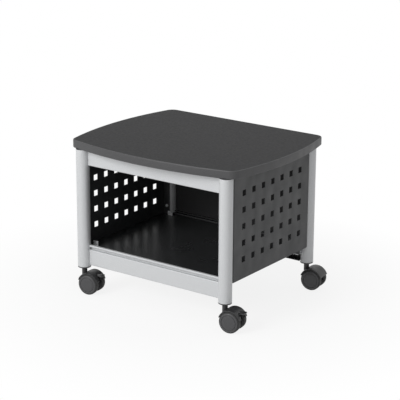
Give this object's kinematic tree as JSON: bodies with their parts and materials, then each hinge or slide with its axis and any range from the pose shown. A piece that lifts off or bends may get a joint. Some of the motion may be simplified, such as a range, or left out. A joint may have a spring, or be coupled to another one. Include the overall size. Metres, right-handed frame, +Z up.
{
  "type": "mobile printer stand",
  "caption": "Low mobile stand for a desktop printer: bowed laminate top on round posts, front-open shelf between perforated side panels, swivel casters with brakes at the front.",
  "frame": {"origin": "on the floor, at the middle of the stand's footprint", "axes": "+X to the right and along the width, -Y to the bowed front, +Z up"},
  "size_m": [0.5184, 0.4189, 0.38],
  "materials": {
    "laminate": "charcoal laminate on particle board, satin",
    "edge_trim": "charcoal edge band, matt",
    "silver_paint": "silver powder coat, satin",
    "black_paint": "black powder coat, fine texture",
    "black_plastic": "moulded nylon, satin",
    "tread": "soft tread, matt",
    "zinc_steel": "zinc plated"
  },
  "bodies": {
    "frame": {"tabletop": "laminate", "edge_band": "edge_trim", "front_left_post": "silver_paint", "front_right_post": "silver_paint", "rear_left_post": "silver_paint", "rear_right_post": "silver_paint", "post_caps": "black_plastic", "caster_sockets": "black_plastic", "front_top_rail": "silver_paint", "front_lower_rail": "silver_paint", "rear_top_rail": "black_paint", "rear_lower_rail": "black_paint", "left_panel": "black_paint", "right_panel": "black_paint", "back_panel": "black_paint", "shelf": "black_paint", "corner_brackets": "zinc_steel", "top_screws": "zinc_steel", "panel_screws": "zinc_steel", "back_screws": "zinc_steel", "shelf_screws": "zinc_steel", "shelf_nuts": "zinc_steel"},
    "fl_caster": {"fl_caster_stem": "zinc_steel", "fl_caster_hood": "black_plastic", "fl_caster_axle": "zinc_steel", "fl_pedal_pin": "zinc_steel"},
    "fl_near_wheel": {"fl_wheel_near": "black_plastic", "fl_tread_near": "tread"},
    "fl_far_wheel": {"fl_wheel_far": "black_plastic", "fl_tread_far": "tread"},
    "fl_pedal": {"fl_brake_pedal": "black_plastic"},
    "fr_caster": {"fr_caster_stem": "zinc_steel", "fr_caster_hood": "black_plastic", "fr_caster_axle": "zinc_steel", "fr_pedal_pin": "zinc_steel"},
    "fr_near_wheel": {"fr_wheel_near": "black_plastic", "fr_tread_near": "tread"},
    "fr_far_wheel": {"fr_wheel_far": "black_plastic", "fr_tread_far": "tread"},
    "fr_pedal": {"fr_brake_pedal": "black_plastic"},
    "rl_caster": {"rl_caster_stem": "zinc_steel", "rl_caster_hood": "black_plastic", "rl_caster_axle": "zinc_steel"},
    "rl_near_wheel": {"rl_wheel_near": "black_plastic", "rl_tread_near": "tread"},
    "rl_far_wheel": {"rl_wheel_far": "black_plastic", "rl_tread_far": "tread"},
    "rr_caster": {"rr_caster_stem": "zinc_steel", "rr_caster_hood": "black_plastic", "rr_caster_axle": "zinc_steel"},
    "rr_near_wheel": {"rr_wheel_near": "black_plastic", "rr_tread_near": "tread"},
    "rr_far_wheel": {"rr_wheel_far": "black_plastic", "rr_tread_far": "tread"}
  },
  "joints": [
    {"name": "fl_swivel", "type": "hinge", "parent": "frame", "child": "fl_caster", "pos_m": [-0.208, -0.17, 0.0635], "axis": [0, 0, 1], "continuous": true},
    {"name": "fl_near_spin", "type": "hinge", "parent": "fl_caster", "child": "fl_near_wheel", "pos_m": [-0.1882, -0.16722, 0.0255], "axis": [-0.1392, 0.9903, 0], "continuous": true},
    {"name": "fl_far_spin", "type": "hinge", "parent": "fl_caster", "child": "fl_far_wheel", "pos_m": [-0.1882, -0.16722, 0.0255], "axis": [-0.1392, 0.9903, 0], "continuous": true},
    {"name": "fl_brake", "type": "hinge", "parent": "fl_caster", "child": "fl_pedal", "pos_m": [-0.17433, -0.16527, 0.0445], "axis": [-0.1392, 0.9903, 0], "range_deg": [0, 15]},
    {"name": "fr_swivel", "type": "hinge", "parent": "frame", "child": "fr_caster", "pos_m": [0.208, -0.17, 0.0635], "axis": [0, 0, 1], "continuous": true},
    {"name": "fr_near_spin", "type": "hinge", "parent": "fr_caster", "child": "fr_near_wheel", "pos_m": [0.22781, -0.16722, 0.0255], "axis": [-0.1392, 0.9903, 0], "continuous": true},
    {"name": "fr_far_spin", "type": "hinge", "parent": "fr_caster", "child": "fr_far_wheel", "pos_m": [0.22781, -0.16722, 0.0255], "axis": [-0.1392, 0.9903, 0], "continuous": true},
    {"name": "fr_brake", "type": "hinge", "parent": "fr_caster", "child": "fr_pedal", "pos_m": [0.24167, -0.16527, 0.0445], "axis": [-0.1392, 0.9903, 0], "range_deg": [0, 15]},
    {"name": "rl_swivel", "type": "hinge", "parent": "frame", "child": "rl_caster", "pos_m": [-0.208, 0.179, 0.0635], "axis": [0, 0, 1], "continuous": true},
    {"name": "rl_near_spin", "type": "hinge", "parent": "rl_caster", "child": "rl_near_wheel", "pos_m": [-0.1882, 0.18178, 0.0255], "axis": [-0.1392, 0.9903, 0], "continuous": true},
    {"name": "rl_far_spin", "type": "hinge", "parent": "rl_caster", "child": "rl_far_wheel", "pos_m": [-0.1882, 0.18178, 0.0255], "axis": [-0.1392, 0.9903, 0], "continuous": true},
    {"name": "rr_swivel", "type": "hinge", "parent": "frame", "child": "rr_caster", "pos_m": [0.208, 0.179, 0.0635], "axis": [0, 0, 1], "continuous": true},
    {"name": "rr_near_spin", "type": "hinge", "parent": "rr_caster", "child": "rr_near_wheel", "pos_m": [0.22781, 0.18178, 0.0255], "axis": [-0.1392, 0.9903, 0], "continuous": true},
    {"name": "rr_far_spin", "type": "hinge", "parent": "rr_caster", "child": "rr_far_wheel", "pos_m": [0.22781, 0.18178, 0.0255], "axis": [-0.1392, 0.9903, 0], "continuous": true}
  ]
}
